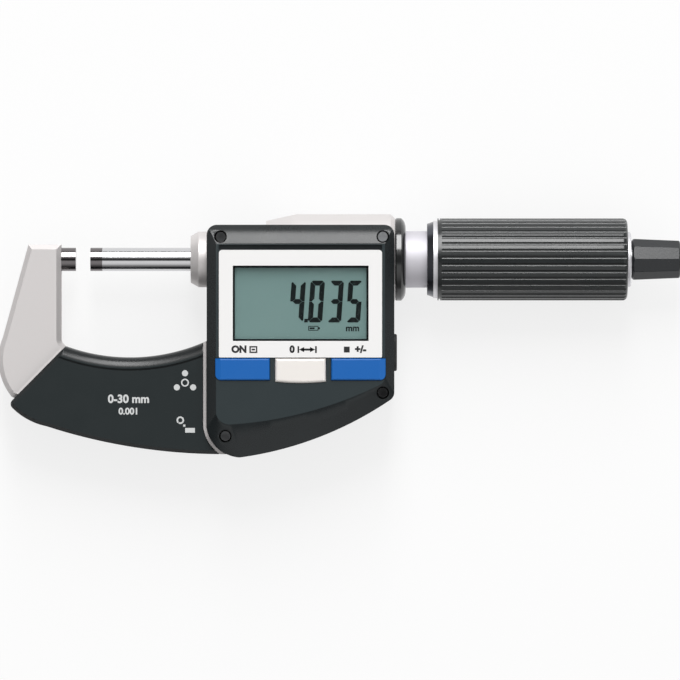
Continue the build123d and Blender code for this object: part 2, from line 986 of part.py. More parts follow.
def sleeve():
    """Stepped sleeve: spindle guide, window over the scale, lock seat, journal and outer barrel."""
    body = turned(
        (shank_start, 0),
        (shank_start, shank_r),
        (shank_step, shank_r),
        (shank_step, shank_step_r),
        (barrel_end, shank_step_r),
        (barrel_end, journal_r),
        (sleeve_shoulder, journal_r),
        (sleeve_shoulder, sleeve_r),
        (sleeve_end, sleeve_r),
        (sleeve_end, 0),
    )
    body -= ring(shank_start, guide_end, spindle_r + slide_fit)
    body -= ring(guide_end, collet_start, relief_r)
    body -= ring(collet_start, collet_end, collet_r)
    body -= ring(collet_end, sleeve_end, sleeve_bore_r)
    body -= block(*encoder_window(), 0, big)
    body -= upright((key_x, 0), key_r, -big, 0)
    return body - roller_slot()


def roller_slot():
    """Slot through the journal for the lock roller."""
    x0 = (barrel_end + sleeve_shoulder - roller_length) / 2
    wide = roller_r + turn_fit
    return block(x0, x0 + roller_length, -journal_r - over, -collet_r, -wide, wide)


def lock_roller():
    """Roller between the lock ring and the collet."""
    x0 = (barrel_end + sleeve_shoulder - roller_length) / 2
    play = turn_fit
    roller = ring(x0 + play, x0 + roller_length - play, roller_r)
    return Pos(0, -(collet_r + roller_r), 0) * roller


def lock_collet():
    """Split collet round the spindle."""
    collet = ring(collet_start, collet_end, collet_r, spindle_r + slide_fit)
    wide = collet_slit / 2
    return collet - block(collet_start, collet_end, 0, collet_r + over, -wide, wide)


def lock_ring():
    """Smooth lock ring with a domed outer face, turning on the sleeve's journal."""
    inner = journal_r + turn_fit
    mouth = sleeve_r + 3 * turn_fit
    web_end = sleeve_shoulder - turn_fit
    rim_end = lock_end - lock_dome
    dome_mid = (rim_end + lock_dome / 2 + lock_bulge[0], (lock_r + lock_dome_r) / 2 + lock_bulge[1])
    edges = [
        Line((lock_start, inner), (lock_start, lock_r - lock_edge)),
        Line((lock_start, lock_r - lock_edge), (lock_start + lock_edge, lock_r)),
        Line((lock_start + lock_edge, lock_r), (rim_end, lock_r)),
        ThreePointArc((rim_end, lock_r), dome_mid, (lock_end, lock_dome_r)),
        Line((lock_end, lock_dome_r), (lock_end, mouth)),
        Line((lock_end, mouth), (web_end, mouth)),
        Line((web_end, mouth), (web_end, inner)),
        Line((web_end, inner), (lock_start, inner)),
    ]
    return revolve(make_face(edges), Axis.X)


def drive_nut():
    """Nut of the quick screw, in the end of the sleeve."""
    return ring(sleeve_end - nut_length, sleeve_end, sleeve_bore_r, screw_thread_r + turn_fit)


def spindle():
    """Spindle with a flat for the scale, a keyway and a thrust flange."""
    tip = opening + spindle_tip_length
    body = ring(tip, spindle_end, spindle_r)
    body += ring(spindle_end, flange_end, flange_r)
    x0, x1 = scale_reach()
    wide = scale_width / 2
    body -= block(x0, x1, -wide, wide, scale_seat, spindle_r + over)
    x0 = key_x - key_r - keyway_margin - feed_open
    x1 = key_x + key_r + keyway_margin + opening
    wide = keyway_width / 2
    return body - block(x0, x1, -wide, wide, -spindle_r - over, keyway_depth - spindle_r)


def spindle_tip():
    """Carbide end of the spindle."""
    return ring(opening, opening + spindle_tip_length, spindle_r)


def thrust_washers():
    """Bronze washers on both sides of the screw's collar."""
    near = ring(flange_end, flange_end + washer_thickness, washer_r)
    return near + ring(cap_web - washer_thickness, cap_web, washer_r, screw_neck_r + turn_fit)


def coupling_cap():
    """Cap that holds the drive screw's collar against the spindle's flange."""
    cap = ring(spindle_end, cap_end, coupling_r)
    cap -= ring(spindle_end, flange_end, flange_r)
    cap -= ring(flange_end, cap_web, washer_r)
    return cap - ring(cap_web, cap_end, screw_neck_r + turn_fit)


def drive_screw():
    """Drive screw: collar in the coupling, quick thread, and shank in the thimble's end."""
    thread_start = cap_end + free_gap
    body = turned(
        (collar_start, 0),
        (collar_start, washer_r - turn_fit),
        (collar_end, washer_r - turn_fit),
        (collar_end, screw_neck_r),
        (thread_start, screw_neck_r),
        (thread_start, screw_thread_r),
        (thimble_wall_start, screw_thread_r),
        (thimble_wall_start, screw_shank_r),
        (thimble_end, screw_shank_r),
        (thimble_end, 0),
    )
    return body - ring(thimble_end - ratchet_screw_depth, thimble_end, ratchet_screw_r)


def wiper_ring():
    """Dark conical ring at the front of the thimble."""
    inner = sleeve_r + thimble_clear
    return turned(
        (thimble_front, inner),
        (thimble_front, thimble_cone_r),
        (wiper_end, wiper_r),
        (wiper_end, wiper_spigot_r),
        (wiper_end + wiper_spigot, wiper_spigot_r),
        (wiper_end + wiper_spigot, inner),
    )


def thimble_body():
    """Metal thimble: bright front ring, seat for the grip, end wall and bright end ring."""
    inner = sleeve_r + thimble_clear
    return turned(
        (wiper_end, wiper_spigot_r),
        (wiper_end, thimble_ring_r),
        (grip_start, thimble_ring_r),
        (grip_start, grip_seat_r),
        (grip_end, grip_seat_r),
        (grip_end, thimble_end_r),
        (thimble_end - thimble_end_edge, thimble_end_r),
        (thimble_end, thimble_end_r - thimble_end_edge),
        (thimble_end, screw_shank_r),
        (thimble_wall_start, screw_shank_r),
        (thimble_wall_start, inner),
        (wiper_end + wiper_spigot, inner),
        (wiper_end + wiper_spigot, wiper_spigot_r),
    )


def thimble_grip():
    """Black grip with lengthwise flutes, rounded at its outer end."""
    blank = rectangle(grip_start, grip_end, grip_seat_r, grip_r)
    body = revolve(corner(blank, (grip_end, grip_r), grip_round), Axis.X)
    flutes = PolarLocations(grip_r + flute_r - flute_depth, grip_flutes, start_angle=90 + flute_turn)
    section = Plane.YZ * (Sketch() + [place * Circle(flute_r) for place in flutes])
    line_start = grip_start + grip_collar
    line_end = line_start + grip_line
    body -= extrude(Pos(line_end + flute_margin, 0, 0) * section, grip_end - line_end)
    return body - ring(line_start, line_end, grip_r + over, grip_r - grip_line)


def ratchet_knob():
    """Tapered knob with flat sides, a rounded rim and a chamfered end."""
    near = Plane.YZ * RegularPolygon(knob_r, knob_sides, rotation=90)
    far = Plane.YZ * RegularPolygon(knob_end_r, knob_sides, rotation=90)
    body = loft([Pos(knob_start, 0, 0) * near, Pos(knob_end, 0, 0) * far], ruled=True)
    lathe = turned(
        (knob_start, 0),
        (knob_start, knob_r - knob_rim),
        (knob_start + knob_rim, knob_r),
        (knob_end - knob_chamfer, knob_r),
        (knob_end, knob_end_r - knob_chamfer),
        (knob_end, 0),
    )
    body &= lathe
    body -= ring(knob_start, knob_web_start, knob_bore_r)
    body -= ring(knob_web_start, knob_end, hub_r + turn_fit)
    return body - ring(knob_web_start + knob_web, knob_end, knob_mouth_r)


def tooth_disc(x0, x1, outer, inner, facing):
    """Disc with sloping face teeth; facing is +1 or -1 along X."""
    disc = ring(x0, x1, outer, inner)
    root = x1 if facing > 0 else x0
    wedge = Plane.XZ * make_face(
        Polyline((root, 0), (root + facing * tooth_height, 0), (root, tooth_pitch()), close=True)
    )
    band = ring(x0 - tooth_height, x1 + tooth_height, outer, outer - tooth_length)
    tooth = extrude(wedge, -outer) & band
    for index in range(tooth_count):
        disc += Rot(360 / tooth_count * index, 0, 0) * tooth
    return disc


def tooth_pitch():
    """Length of one face tooth round its inner edge, with a little room."""
    return 2 * math.pi * (base_r - tooth_length) / tooth_count * tooth_share


def ratchet_base():
    """Toothed disc and hub fixed to the thimble's end."""
    x1 = thimble_end + base_thickness
    disc = tooth_disc(thimble_end, x1, base_r, ratchet_screw_r, 1)
    return disc + ring(thimble_end, hub_end(), hub_r, ratchet_screw_r)


def hub_end():
    """X where the ratchet's hub ends, just past the knob's web."""
    return knob_web_start + knob_web + ratchet_gap


def driver_start():
    """X of the driver disc's body, its teeth just clear of the base's teeth."""
    return thimble_end + base_thickness + 2 * tooth_height + ratchet_gap


def ratchet_driver():
    """Toothed disc that turns with the knob."""
    x0 = driver_start()
    return tooth_disc(x0, x0 + driver_thickness, driver_r, hub_r + turn_fit, -1)


def ratchet_spring():
    """Coil spring between the driver and the knob's web."""
    start = driver_start() + driver_thickness + spring_wire_r
    length = knob_web_start - spring_wire_r - start
    path = Helix(length / spring_turns, length, spring_r)
    coil = sweep((path ^ 0) * Circle(spring_wire_r), path)
    return Pos(start, 0, 0) * Rot(0, 90, 0) * coil


def ratchet_screw():
    """Slotted screw that holds the ratchet on the drive screw."""
    x0 = hub_end()
    x1 = x0 + ratchet_screw_head
    body = ring(thimble_end - ratchet_screw_depth, x0, ratchet_screw_r)
    body += ring(x0, x1, ratchet_screw_head_r)
    reach = ratchet_screw_head_r + over
    wide = screw_slot / 2
    return body - block(x1 - ratchet_screw_head / 2, x1, -reach, reach, -wide, wide)


def write(name, solid):
    """Write one sub-part as its own file."""
    export_step(solid, f"parts/{name}.step")


os.makedirs("parts", exist_ok=True)
plans = button_plans()
write("frame", frame())
write("anvil", anvil())
write("anvil_tip", anvil_tip())
write("front_plate", front_plate())
write("rear_plate", rear_plate())
write("sleeve", sleeve())
write("drive_nut", drive_nut())
write("key_pin", key_pin())
write("housing_front", housing_front())
write("housing_rear", housing_rear())
write("housing_gasket", housing_gasket())
write("housing_screws", housing_screws())
write("rear_screws", rear_screws())
write("face_panel", face_panel())
write("lcd_window", lcd_window())
write("lcd_panel", lcd_panel())
write("contact_strips", contact_strips())
write("circuit_board", circuit_board())
write("switches", switches())
write("encoder_head", encoder_head())
write("port_socket", port_socket())
write("battery_cell", battery_cell())
write("battery_contacts", battery_contacts())
write("lock_collet", lock_collet())
write("lock_roller", lock_roller())
write("spindle", spindle())
write("spindle_tip", spindle_tip())
write("encoder_scale", encoder_scale())
write("coupling_cap", coupling_cap())
write("thrust_washers", thrust_washers())
write("thimble_body", thimble_body())
write("thimble_grip", thimble_grip())
write("wiper_ring", wiper_ring())
write("drive_screw", drive_screw())
write("ratchet_base", ratchet_base())
write("ratchet_screw", ratchet_screw())
write("ratchet_knob", ratchet_knob())
write("ratchet_driver", ratchet_driver())
write("ratchet_spring", ratchet_spring())
write("lock_ring", lock_ring())
write("button_left", button(plans[0], button_round))
write("button_center", button(plans[1], button_middle_round))
write("button_right", button(plans[2], button_round))
write("battery_seal", battery_seal())
write("battery_cover", battery_cover())
write("port_cover", port_cover())
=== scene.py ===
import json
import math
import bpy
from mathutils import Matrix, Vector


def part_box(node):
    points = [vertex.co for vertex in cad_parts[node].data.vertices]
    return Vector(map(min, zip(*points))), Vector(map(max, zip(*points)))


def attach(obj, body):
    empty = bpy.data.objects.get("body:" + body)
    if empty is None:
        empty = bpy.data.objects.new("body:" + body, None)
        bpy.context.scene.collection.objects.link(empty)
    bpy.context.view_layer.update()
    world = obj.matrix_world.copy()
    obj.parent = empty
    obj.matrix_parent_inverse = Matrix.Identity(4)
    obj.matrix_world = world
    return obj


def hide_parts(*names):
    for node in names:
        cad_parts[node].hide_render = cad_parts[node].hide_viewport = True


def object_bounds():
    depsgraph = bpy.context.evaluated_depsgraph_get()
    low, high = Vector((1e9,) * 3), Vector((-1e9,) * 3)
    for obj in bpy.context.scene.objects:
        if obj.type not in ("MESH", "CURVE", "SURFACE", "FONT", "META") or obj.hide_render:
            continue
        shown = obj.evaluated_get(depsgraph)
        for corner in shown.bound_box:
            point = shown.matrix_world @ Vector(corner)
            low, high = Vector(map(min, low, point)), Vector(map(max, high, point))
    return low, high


bl_info = {
    "name": "Digital Outside Micrometer",
    "version": (1, 0, 0),
    "blender": (4, 5, 0),
    "location": "3D View > Sidebar > Micrometer",
    "description": "Finishes, printed marks and studio for a digital outside micrometer",
    "category": "Object",
}

import bmesh
import bpy
from bpy.props import FloatProperty, FloatVectorProperty, PointerProperty, StringProperty
from mathutils import Vector

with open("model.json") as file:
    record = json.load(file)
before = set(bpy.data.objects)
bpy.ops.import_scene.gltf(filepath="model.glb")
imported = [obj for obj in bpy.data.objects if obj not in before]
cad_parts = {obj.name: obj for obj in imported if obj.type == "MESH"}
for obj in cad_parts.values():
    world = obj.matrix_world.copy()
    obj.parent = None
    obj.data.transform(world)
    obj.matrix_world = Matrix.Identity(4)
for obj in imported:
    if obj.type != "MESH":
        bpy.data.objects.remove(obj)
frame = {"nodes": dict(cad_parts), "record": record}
cad_low, cad_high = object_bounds()
nodes = frame["nodes"]
body_of_node = {
    node: body
    for body, members in frame["record"]["behaviour"]["bodies"].items()
    for node in members
}

# Corners of a CAD solid, or of a printed mark, that lie this close are one
SOLID_WELD = 0.5e-6
PRINT_WELD = 1e-7
# Faces that turn by less are one flat face
FLAT_ANGLE = math.radians(0.05)
# Edges of a CAD solid that turn by more are softened
SOFTENED_ANGLE = math.radians(28)
# Edges of a finished mesh that turn by more are shaded as sharp
SHARP_ANGLE = math.radians(32)

# Share of a metal's colour that is left in its grain
METAL_GRAIN = 0.88
# Depth of the bump that fine grain makes
BUMP_DEPTH = 0.00002
# Heights, relative to a face, between which its texture and paler colour fade into the bevels'
# darker colour, which is painted shade
FACE_FADE = (-0.00009, -0.00001)
BEVEL_ROUGHNESS = 0.28
FACE_ROUGHNESS = 0.42
# Fine turning marks that run round the measuring line
TURNED = {"grain": 1200.0, "stretch": (6.0, 0.5, 0.5), "bump": 0.15, "spread": 0.1}

# Segments that each digit lights, in the usual lettering from a to g
SEGMENTS = {
    "0": "abcdef",
    "1": "bc",
    "2": "abged",
    "3": "abgcd",
    "4": "fgbc",
    "5": "afgcd",
    "6": "afgedc",
    "7": "abc",
    "8": "abcdefg",
    "9": "abcdfg",
}
# A segment's cut tip, the point's half side and its shift, as shares of a segment's width
TIP_CUT = 0.45
POINT_HALF = 0.36
POINT_SHIFT = 0.1
# Height of the lettering's capitals at a text size of 1
CAPITAL_SHARE = 0.73
# How far lettering is thickened, as a share of its height
PLAIN_WEIGHT = 0.045
BOLD_WEIGHT = 0.08

# Centres and sizes of the marks on the display
UNIT_PLACE = (0.0768, -0.01915)
UNIT_HEIGHT = 0.0018
BATTERY_PLACE = (0.06595, -0.01915)
BATTERY_SIZE = (0.0028, 0.0013)
# Centres along X of the marks on the panel, which stand in one row
PANEL_ROW = -0.02503
ON_X = 0.04545
BOX_X = 0.0494
ZERO_X = 0.0601
ARROWS_X = 0.06425
SQUARE_X = 0.0752
SIGNS_X = 0.0790
# Centres and sizes of the marks on the front plate
RANGE_PLACE = (0.0148, -0.0388)
STEP_PLACE = (0.0148, -0.0422)
DOTS_PLACE = (0.0304, -0.0342)
DOTS_REACH = 0.0026
DOT_RADIUS = 0.00085
DOTS_RING = (0.0011, 0.00072)
KEY_RING_PLACE = (0.0291, -0.0446)
KEY_RING = (0.00105, 0.0006)
KEY_BAR_PLACE = (0.0318, -0.0474)
KEY_BAR = (0.0027, 0.0013)
KEY_DOT_PLACE = (0.0302, -0.0461)
KEY_DOT = 0.0006
# Height of the step's lettering, as a share of the range's
STEP_SHARE = 0.8

# The floor lies a hair under the part, clear of its flat back
FLOOR_GAP = 0.00005
FLOOR_REACH = 8.0
SOFTBOX_PLACE = (0.07, 1.76, 1.48)
SOFTBOX_SIZE = (0.6, 1.85)
# Brightness of the room from straight overhead (0) to the horizon (1)
ROOM_LEVELS = (
    (0.0, 0.05),
    (0.12, 0.05),
    (0.19, 1.05),
    (0.42, 1.05),
    (0.66, 0.6),
    (0.86, 0.45),
    (0.98, 0.8),
)
# The room is brightest a little to the right of the middle, and fades over these spans
ROOM_SHIFT = 0.22
END_FADE = (0.45, 0.85)
NEAR_FADE = (0.8, 0.99)


def written(red, green, blue):
    """Linear colour of a colour written as it looks on screen, from 0 to 255."""
    shares = (red / 255, green / 255, blue / 255)
    return tuple(s / 12.92 if s <= 0.04045 else ((s + 0.055) / 1.055) ** 2.4 for s in shares)


def colour_property(name, description, *screen):
    """A colour that a user can change, given as it looks on screen."""
    return FloatVectorProperty(
        name=name,
        description=description,
        default=written(*screen),
        size=3,
        min=0.0,
        max=1.0,
        subtype="COLOR",
    )


def length_property(name, description, default):
    """A length that a user can change."""
    return FloatProperty(
        name=name, description=description, default=default, min=0.0, precision=5, unit="LENGTH"
    )


def place_property(name, description, default):
    """A place along an axis that a user can change."""
    return FloatProperty(
        name=name, description=description, default=default, precision=5, unit="LENGTH"
    )


def level_property(name, description, default):
    """A brightness that a user can change."""
    return FloatProperty(name=name, description=description, default=default, min=0.0)


def share_property(name, description, default):
    """A share from 0 to 1 that a user can change."""
    return FloatProperty(name=name, description=description, default=default, min=0.0, max=1.0)


class MicrometerColours(bpy.types.PropertyGroup):
    """Colours of the micrometer's finishes."""

    satin_frame: colour_property("Satin frame", "Satin chrome of the frame", 226, 222, 221)
    steel: colour_property("Steel", "Ground and turned steel", 214, 214, 216)
    chrome: colour_property("Chrome", "Satin chrome of the thimble", 232, 231, 234)
    sleeve: colour_property("Sleeve", "Finely turned sleeve", 224, 222, 228)
    carbide: colour_property("Carbide", "Carbide of the measuring faces", 122, 118, 119)
    plate: colour_property("Plate", "Textured faces of the black plates", 18, 29, 31)
    housing: colour_property("Housing", "Textured faces of the black housing", 36, 47, 50)
    # Colour of the bevels, darker than the faces as painted shade; only their lower roughness is a
    # real polish
    bevel: colour_property("Bevels", "Polished bevels of housing and plates", 8, 11, 13)
    panel: colour_property("Panel", "White panel round the window", 249, 248, 247)
    print_black: colour_property("Panel print", "Marks printed on the panel", 14, 14, 18)
    print_white: colour_property("Plate print", "Marks printed on the plate", 214, 216, 216)
    display: colour_property("Display", "Ground of the liquid crystal display", 112, 142, 139)
    segments: colour_property("Segments", "Dark segments of the display", 3, 14, 15)
    side_button: colour_property("Side buttons", "Blue of the side buttons", 14, 100, 182)
    middle_button: colour_property("Middle button", "White of the middle button", 246, 241, 236)
    grip: colour_property("Grip", "Black grip of the thimble", 17, 23, 24)
    knob: colour_property("Knob", "Black ratchet knob", 20, 24, 28)
    ring: colour_property("Ring", "Black lock ring", 12, 14, 15)
    blued: colour_property("Blued steel", "Dark steel of the wiper ring", 92, 94, 100)
    rubber: colour_property("Rubber", "Rubber plug and seals", 26, 27, 28)
    brass: colour_property("Brass", "Brass and gilded contacts", 214, 176, 92)
    bronze: colour_property("Bronze", "Bronze nut and washers", 186, 132, 82)
    board: colour_property("Board", "Circuit board", 26, 84, 52)
    screw: colour_property("Screws", "Dull steel of the screws", 172, 174, 176)
    floor: colour_property("Floor", "Pale floor", 250, 250, 250)


class MicrometerSizes(bpy.types.PropertyGroup):
    """Sizes of the details that are added to the frame's solids."""

    edge: length_property("Edge", "Softening of moulded edges", 0.00025)
    metal_edge: length_property("Metal edge", "Softening of machined edges", 0.00012)
    panel_edge: length_property("Panel edge", "Softening of the panel's edges", 0.00008)
    reading: StringProperty(name="Reading", description="Digits on the display", default="4.035")
    reading_right: length_property("Reading end", "Centre of the last digit along X", 0.0773)
    reading_y: place_property("Reading Y", "Centre of the digits along Y", -0.01175)
    digit_height: length_property("Digit height", "Height of the display's digits", 0.01156)
    digit_width: length_property("Digit width", "Width of one digit", 0.00398)
    digit_pitch: length_property("Digit pitch", "Distance between digits", 0.00525)
    digit_stroke: length_property("Stroke", "Width of a digit's segments", 0.00138)
    segment_gap: length_property("Gap", "Gap between a digit's segments", 0.00004)
    digit_slant: FloatProperty(name="Slant", description="Slant of the digits", default=0.07)
    print_height: length_property("Print height", "Thickness of printed marks", 0.00003)
    label_height: length_property("Label height", "Height of the panel's lettering", 0.0019)
    range_height: length_property("Range height", "Height of the plate's lettering", 0.0023)


class MicrometerStage(bpy.types.PropertyGroup):
    """Camera, lamps and backdrop."""

    camera_x: place_property("Camera X", "Centre of the view along the measuring line", 0.07333)
    camera_y: place_property("Camera Y", "Centre of the view across the line", -0.02239)
    camera_height: length_property("Camera height", "Camera above the measuring line", 2.6)
    view_width: length_property("View width", "Width of the view at the measuring line", 0.1889)
    key_strength: level_property("Key light", "Brightness of the softbox", 11.3)
    room_strength: level_property("Room light", "Brightness of the room", 0.83)
    end_share: share_property("End light", "Share of the room's light left at both ends", 0.35)
    near_share: share_property("Near light", "Share of the room's light left on the near side", 0.4)
    floor_glow: share_property("Floor glow", "Share of the floor's look from its own white", 0.78)


def group_socket(tree, name, way, kind, default=None):
    """One named input or output of a node group."""
    socket = tree.interface.new_socket(name=name, in_out=way, socket_type="NodeSocket" + kind)
    if default is not None:
        socket.default_value = default


def maths(tree, operation, first, second=0.0):
    """A Math node fed by sockets or numbers; returns its output."""
    node = tree.nodes.new("ShaderNodeMath")
    node.operation = operation
    for socket, value in zip(node.inputs, (first, second)):
        if isinstance(value, (int, float)):
            socket.default_value = value
        else:
            tree.links.new(value, socket)
    return node.outputs[0]


def faded(tree, value, span, results=(0.0, 1.0)):
    """A value led smoothly from one result to another over a span; returns its output."""
    fade = tree.nodes.new("ShaderNodeMapRange")
    fade.interpolation_type = "SMOOTHSTEP"
    sockets = ("From Min", "From Max", "To Min", "To Max")
    for socket, number in zip(sockets, (*span, *results)):
        fade.inputs[socket].default_value = number
    tree.links.new(value, fade.inputs["Value"])
    return fade.outputs["Result"]


def mixed_colour(tree, share, first, second):
    """Two colours mixed by a share; returns the output."""
    blend = tree.nodes.new("ShaderNodeMix")
    blend.data_type = "RGBA"
    tree.links.new(share, blend.inputs["Factor"])
    tree.links.new(first, blend.inputs["A"])
    tree.links.new(second, blend.inputs["B"])
    return blend.outputs["Result"]


def mixed_surface(tree, share, first, second):
    """A material's surface made of two shaders mixed by a share."""
    mix = tree.nodes.new("ShaderNodeMixShader")
    for socket, output in zip(mix.inputs, (share, first, second)):
        tree.links.new(output, socket)
    tree.links.new(mix.outputs[0], tree.nodes["Material Output"].inputs["Surface"])


def grain_group():
    """Fine grain with a broad drift: colour, roughness and height over the surface."""
    found = bpy.data.node_groups.get("Fine grain")
    if found:
        return found
    tree = bpy.data.node_groups.new("Fine grain", "ShaderNodeTree")
    group_socket(tree, "Vector", "INPUT", "Vector")
    group_socket(tree, "Stretch", "INPUT", "Vector", (1.0, 1.0, 1.0))
    group_socket(tree, "Grain", "INPUT", "Float", 4000.0)
    group_socket(tree, "Drift", "INPUT", "Float", 90.0)
    group_socket(tree, "Colour", "INPUT", "Color")
    group_socket(tree, "Second colour", "INPUT", "Color")
    group_socket(tree, "Colour share", "INPUT", "Float", 0.5)
    group_socket(tree, "Roughness", "INPUT", "Float", 0.4)
    group_socket(tree, "Spread", "INPUT", "Float", 0.12)
    group_socket(tree, "Colour", "OUTPUT", "Color")
    group_socket(tree, "Roughness", "OUTPUT", "Float")
    group_socket(tree, "Height", "OUTPUT", "Float")
    start = tree.nodes.new("NodeGroupInput")
    end = tree.nodes.new("NodeGroupOutput")
    stretched = tree.nodes.new("ShaderNodeVectorMath")
    stretched.operation = "MULTIPLY"
    tree.links.new(start.outputs["Vector"], stretched.inputs[0])
    tree.links.new(start.outputs["Stretch"], stretched.inputs[1])
    fine = tree.nodes.new("ShaderNodeTexNoise")
    fine.inputs["Detail"].default_value = 3.0
    tree.links.new(stretched.outputs[0], fine.inputs["Vector"])
    tree.links.new(start.outputs["Grain"], fine.inputs["Scale"])
    broad = tree.nodes.new("ShaderNodeTexNoise")
    broad.inputs["Detail"].default_value = 4.0
    tree.links.new(start.outputs["Vector"], broad.inputs["Vector"])
    tree.links.new(start.outputs["Drift"], broad.inputs["Scale"])
    halves = [maths(tree, "MULTIPLY", noise.outputs["Fac"], 0.5) for noise in (fine, broad)]
    both = maths(tree, "ADD", *halves)
    share = maths(tree, "MULTIPLY", both, start.outputs["Colour share"])
    colours = (start.outputs["Colour"], start.outputs["Second colour"])
    tree.links.new(mixed_colour(tree, share, *colours), end.inputs["Colour"])
    offset = maths(tree, "MULTIPLY", maths(tree, "SUBTRACT", both, 0.5), start.outputs["Spread"])
    roughness = maths(tree, "ADD", start.outputs["Roughness"], offset)
    tree.links.new(roughness, end.inputs["Roughness"])
    tree.links.new(fine.outputs["Fac"], end.inputs["Height"])
    return tree


def faces_and_shaded_bevels_group():
    """Colour and roughness of the faces at two levels, and of the bevels between them, whose darker
    colour is painted shade.
    """
    found = bpy.data.node_groups.get("Textured faces")
    if found:
        return found
    tree = bpy.data.node_groups.new("Textured faces", "ShaderNodeTree")
    group_socket(tree, "Vector", "INPUT", "Vector")
    group_socket(tree, "Front level", "INPUT", "Float", 0.012)
    group_socket(tree, "Back level", "INPUT", "Float", -0.012)
    group_socket(tree, "Shaded edge colour", "INPUT", "Color")
    group_socket(tree, "Face colour", "INPUT", "Color")
    group_socket(tree, "Edge roughness", "INPUT", "Float", BEVEL_ROUGHNESS)
    group_socket(tree, "Face roughness", "INPUT", "Float", FACE_ROUGHNESS)
    group_socket(tree, "Colour", "OUTPUT", "Color")
    group_socket(tree, "Roughness", "OUTPUT", "Float")
    start = tree.nodes.new("NodeGroupInput")
    end = tree.nodes.new("NodeGroupOutput")
    split = tree.nodes.new("ShaderNodeSeparateXYZ")
    tree.links.new(start.outputs["Vector"], split.inputs[0])
    above = maths(tree, "SUBTRACT", split.outputs["Z"], start.outputs["Front level"])
    below = maths(tree, "SUBTRACT", start.outputs["Back level"], split.outputs["Z"])
    mask = faded(tree, maths(tree, "MAXIMUM", above, below), FACE_FADE)
    colours = (start.outputs["Shaded edge colour"], start.outputs["Face colour"])
    tree.links.new(mixed_colour(tree, mask, *colours), end.inputs["Colour"])
    edge = start.outputs["Edge roughness"]
    span = maths(tree, "SUBTRACT", start.outputs["Face roughness"], edge)
    part = maths(tree, "MULTIPLY", span, mask)
    tree.links.new(maths(tree, "ADD", part, edge), end.inputs["Roughness"])
    return tree


def add_group(tree, group, values):
    """A node group over the piece's own coordinates, with its values set."""
    place = tree.nodes.new("ShaderNodeTexCoord")
    node = tree.nodes.new("ShaderNodeGroup")
    node.node_tree = group
    node.name = group.name
    for socket, value in values.items():
        node.inputs[socket].default_value = value
    tree.links.new(place.outputs["Object"], node.inputs["Vector"])
    return node


def finish(
    name,
    colour,
    second,
    roughness,
    sockets,
    grain=4000.0,
    drift=90.0,
    stretch=(1.0, 1.0, 1.0),
    share=0.5,
    spread=0.12,
    bump=0.0,
):
    """A Principled material whose colour, roughness and bump come from the fine grain group."""
    material = bpy.data.materials.new(name)
    material.use_nodes = True
    tree = material.node_tree
    shader = tree.nodes["Principled BSDF"]
    for socket, value in sockets.items():
        shader.inputs[socket].default_value = value
    values = {
        "Stretch": stretch,
        "Grain": grain,
        "Drift": drift,
        "Colour": (*colour, 1.0),
        "Second colour": (*second, 1.0),
        "Colour share": share,
        "Roughness": roughness,
        "Spread": spread,
    }
    grained = add_group(tree, grain_group(), values)
    tree.links.new(grained.outputs["Colour"], shader.inputs["Base Color"])
    tree.links.new(grained.outputs["Roughness"], shader.inputs["Roughness"])
    if bump:
        relief = tree.nodes.new("ShaderNodeBump")
        relief.inputs["Strength"].default_value = bump
        relief.inputs["Distance"].default_value = BUMP_DEPTH
        tree.links.new(grained.outputs["Height"], relief.inputs["Height"])
        tree.links.new(relief.outputs["Normal"], shader.inputs["Normal"])
    return material


def metal(name, colour, roughness, metallic=1.0, **look):
    """Metal finish, a little darker in its grain."""
    deep = tuple(part * METAL_GRAIN for part in colour)
    return finish(name, colour, deep, roughness, {"Metallic": metallic}, **look)


def plastic(name, colour, roughness, shine=0.5, pale=0.04, **look):
    """Moulded plastic or rubber finish, a little paler in its grain."""
    light = tuple(part + (1.0 - part) * pale for part in colour)
    return finish(name, colour, light, roughness, {"Specular IOR Level": shine}, **look)


def textured_black_shaded_bevels(name, face, bevel, levels, **look):
    """Black plastic with a fine texture on its front and back faces and polished bevels; the
    bevels' darker colour is painted shade.
    """
    material = plastic(name, face, BEVEL_ROUGHNESS, grain=5200.0, shine=0.4, pale=0.01, **look)
    tree = material.node_tree
    values = {
        "Back level": levels[0],
        "Front level": levels[1],
        "Shaded edge colour": (*bevel, 1.0),
        "Face colour": (*face, 1.0),
        "Edge roughness": BEVEL_ROUGHNESS,
        "Face roughness": FACE_ROUGHNESS,
    }
    faces = add_group(tree, faces_and_shaded_bevels_group(), values)
    for socket in ("Colour", "Roughness"):
        tree.links.new(faces.outputs[socket], tree.nodes["Fine grain"].inputs[socket])
    return material


def outer_levels(back, front):
    """Lowest height of one node and highest of another."""
    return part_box(back)[0].z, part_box(front)[1].z


def dress(material, *names):
    """Put a finish on CAD nodes."""
    for name in names:
        for slot in nodes[name].material_slots:
            slot.material = material


def ride_with(piece, node):
    """A new piece moves with a CAD node's body."""
    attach(piece, body_of_node[node])


def new_piece(name, mesh, material):
    """An object at the origin for a finished mesh."""
    piece = bpy.data.objects.new(name, mesh)
    bpy.context.scene.collection.objects.link(piece)
    mesh.materials.clear()
    mesh.materials.append(material)
    return piece


def mesh_from(bm, name):
    """A mesh from a finished bmesh, smooth where its faces meet gently."""
    mesh = bpy.data.meshes.new(name)
    bm.to_mesh(mesh)
    bm.free()
    mesh.shade_smooth()
    mesh.set_sharp_from_angle(angle=SHARP_ANGLE)
    return mesh


def weigh_normals(piece):
    """Keep flat faces flat beside their softened edges."""
    modifier = piece.modifiers.new("Flat faces", "WEIGHTED_NORMAL")
    modifier.weight = 80
    modifier.keep_sharp = True


